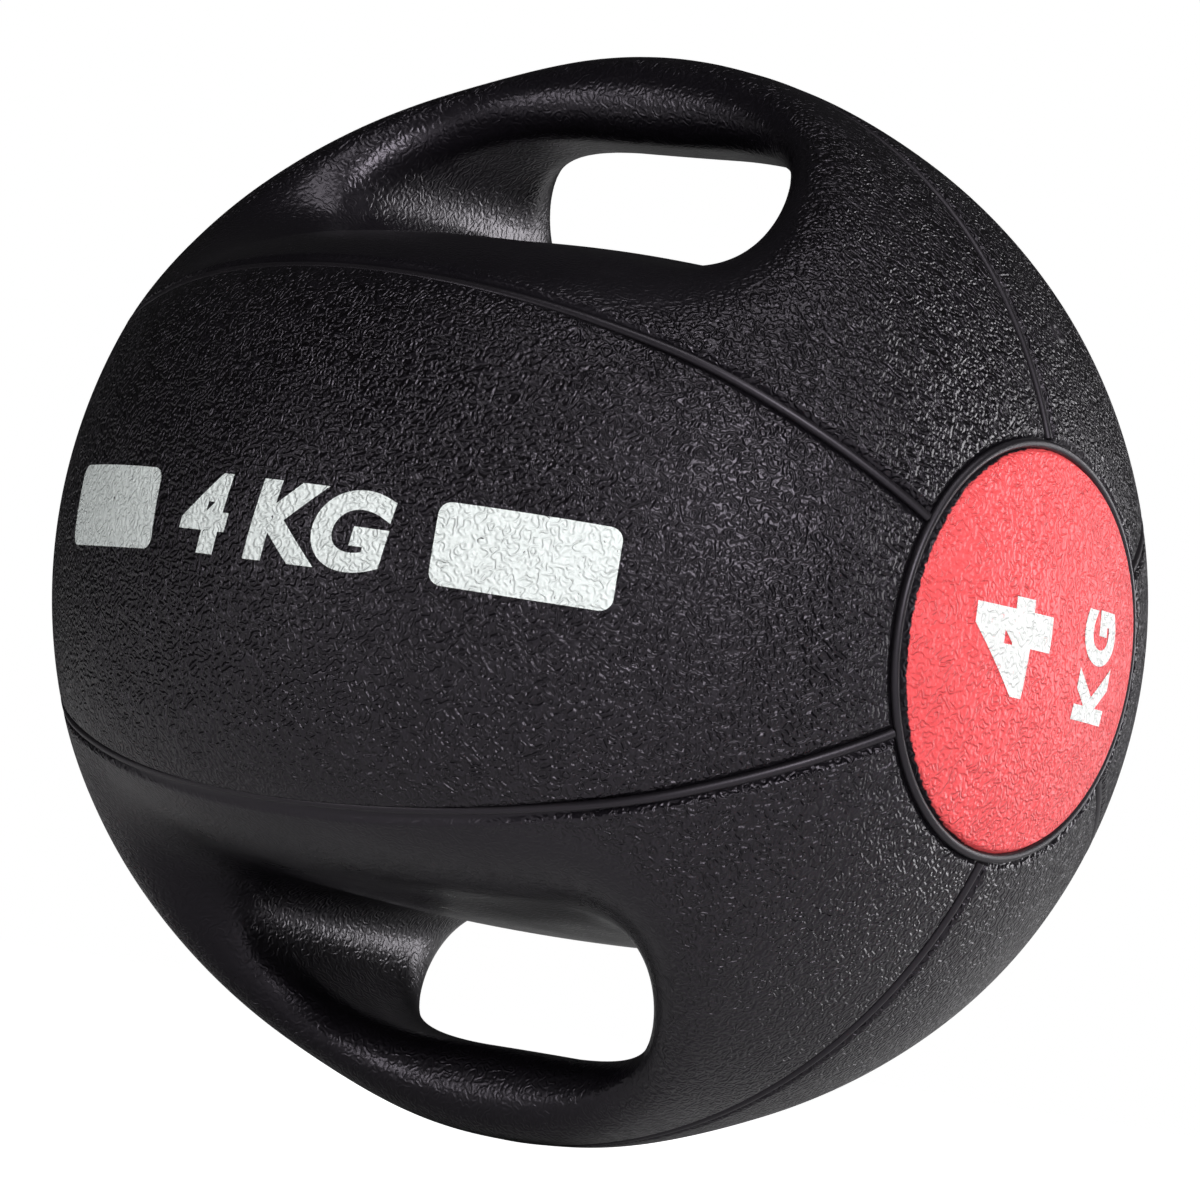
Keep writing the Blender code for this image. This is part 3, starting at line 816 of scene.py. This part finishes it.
def drawn_under(node, depth, material):
    """A copy of a CAD node, refined, with every point that is too near the skin drawn in."""
    work = bmesh.new()
    work.from_mesh(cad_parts[node].data)
    bmesh.ops.remove_doubles(work, verts=work.verts, dist=0.00001)
    for _ in range(4):
        long_edges = [edge for edge in work.edges if edge.calc_length() > REFINE_LENGTH]
        if not long_edges:
            break
        bmesh.ops.subdivide_edges(work, edges=long_edges, cuts=1)
        bmesh.ops.triangulate(work, faces=work.faces)
    points = np.array([vert.co[:] for vert in work.verts])
    for _ in range(6):
        slope = skin_slope(points)
        length = np.maximum((slope * slope).sum(1), LEAST_SLOPE)
        excess = np.maximum(skin_height(points) + depth, 0.0)
        points = points - slope * (excess / length)[:, None]
    for vert, point in zip(work.verts, points):
        vert.co = point
    made = object_of(work, f"{node}_layer", material)
    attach(made, BODY)
    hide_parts(node)
    return made


for name in ("carcass_front", "carcass_rear"):
    layer = drawn_under(name, WEIGHT_DEPTH, weight_layer)
    print(layer.name, "faces:", len(layer.data.polygons))
for name in ("upper_grip_core", "lower_grip_core"):
    drawn_under(name, WEIGHT_DEPTH, grip_core)
skin.free()

# %% [markdown]
# ## Floor, light and camera
# A pale floor that runs on into a pale room keeps the black rubber readable. Black shows form only
# through what it mirrors, so the light is large and soft: a wide panel above, a strip on each side
# for the rims, and a wide one in front for the sparkle in the grain. The camera is a long lens far
# away, almost level, and rolled a few degrees.

# %% Floor
def stage_material(name, colour, roughness, glow):
    material = bpy.data.materials.new(name)
    material.use_nodes = True
    shader = material.node_tree.nodes["Principled BSDF"]
    shader.inputs["Base Color"].default_value = hex_colour(colour)
    shader.inputs["Roughness"].default_value = roughness
    shader.inputs["Emission Color"].default_value = (1.0, 1.0, 1.0, 1.0)
    tree = material.node_tree
    seen = add_node(tree, "ShaderNodeLightPath").outputs["Is Camera Ray"]
    tree.links.new(math_of(tree, "MULTIPLY", seen, glow), shader.inputs["Emission Strength"])
    return material


FLOOR_SIZE = 30.0
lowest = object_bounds()[0].z
floor_mesh = bpy.data.meshes.new("floor")
floor_work = bmesh.new()
bmesh.ops.create_grid(floor_work, x_segments=1, y_segments=1, size=FLOOR_SIZE / 2.0)
for vert in floor_work.verts:
    vert.co.z = lowest - 0.0005
floor_work.to_mesh(floor_mesh)
floor_work.free()
floor = bpy.data.objects.new("floor", floor_mesh)
bpy.context.scene.collection.objects.link(floor)
floor_mesh.materials.append(stage_material("pale_floor", "F4F4F4", 0.9, 1.0))

# %% Light
ROOM_LIGHT = 0.02            # the room as the ball sees it; the room itself shows plain white
world = bpy.data.worlds.new("pale_room")
bpy.context.scene.world = world
world.use_nodes = True
world_tree = world.node_tree
seen = add_node(world_tree, "ShaderNodeLightPath").outputs["Is Camera Ray"]
strength = add_node(world_tree, "ShaderNodeMapRange", {"Value": seen, 3: ROOM_LIGHT, 4: 1.0})
background = world_tree.nodes["Background"]
background.inputs["Color"].default_value = (1.0, 1.0, 1.0, 1.0)
world_tree.links.new(strength.outputs[0], background.inputs["Strength"])
bpy.context.scene.view_settings.view_transform = "Standard"


def soft_panel(name, azimuth, elevation, distance, size, power):
    """A square soft light that looks at the ball from an azimuth and elevation in degrees."""
    light = bpy.data.lights.new(name, "AREA")
    light.shape = "RECTANGLE"
    light.size, light.size_y = size
    light.energy = power
    panel = bpy.data.objects.new(name, light)
    bpy.context.scene.collection.objects.link(panel)
    a, e = math.radians(azimuth), math.radians(elevation)
    away = Vector((math.sin(a) * math.cos(e), -math.cos(a) * math.cos(e), math.sin(e)))
    panel.location = away * distance
    panel.rotation_euler = away.to_track_quat("Z", "Y").to_euler()
    return panel


CAMERA_AZIMUTH = 37.07
soft_panel("left_key", CAMERA_AZIMUTH - 60.0, -4.0, 1.5, (0.45, 0.7), 8.0)
soft_panel("top_back", CAMERA_AZIMUTH + 20.0, 72.0, 1.6, (1.2, 0.5), 7.0)
soft_panel("right_rim", CAMERA_AZIMUTH + 118.0, 0.0, 1.4, (0.5, 1.2), 15.0)
soft_panel("front_fill", CAMERA_AZIMUTH + 26.0, 22.0, 2.0, (0.8, 0.8), 29.0)

# %% Camera
CAMERA_ELEVATION = -3.09
CAMERA_ROLL = 9.31
CAMERA_DISTANCE = 14.30 * BALL_RADIUS
LENS_MM = 234.6
azimuth, elevation, roll = (math.radians(v) for v in (CAMERA_AZIMUTH, CAMERA_ELEVATION, CAMERA_ROLL))
toward = Vector((math.sin(azimuth) * math.cos(elevation), -math.cos(azimuth) * math.cos(elevation),
                 math.sin(elevation)))
level_right = Vector((math.cos(azimuth), math.sin(azimuth), 0.0))
level_up = toward.cross(level_right)
camera_right = math.cos(roll) * level_right + math.sin(roll) * level_up
camera_up = -math.sin(roll) * level_right + math.cos(roll) * level_up
camera_data = bpy.data.cameras.new("camera")
camera_data.lens = LENS_MM
camera_data.sensor_width = 36.0
camera = bpy.data.objects.new("camera", camera_data)
bpy.context.scene.collection.objects.link(camera)
turn_matrix = Matrix((camera_right, camera_up, toward)).transposed().to_4x4()
camera.matrix_world = Matrix.Translation(toward * CAMERA_DISTANCE) @ turn_matrix
bpy.context.scene.camera = camera
print("camera at:", [round(c, 3) for c in camera.location])
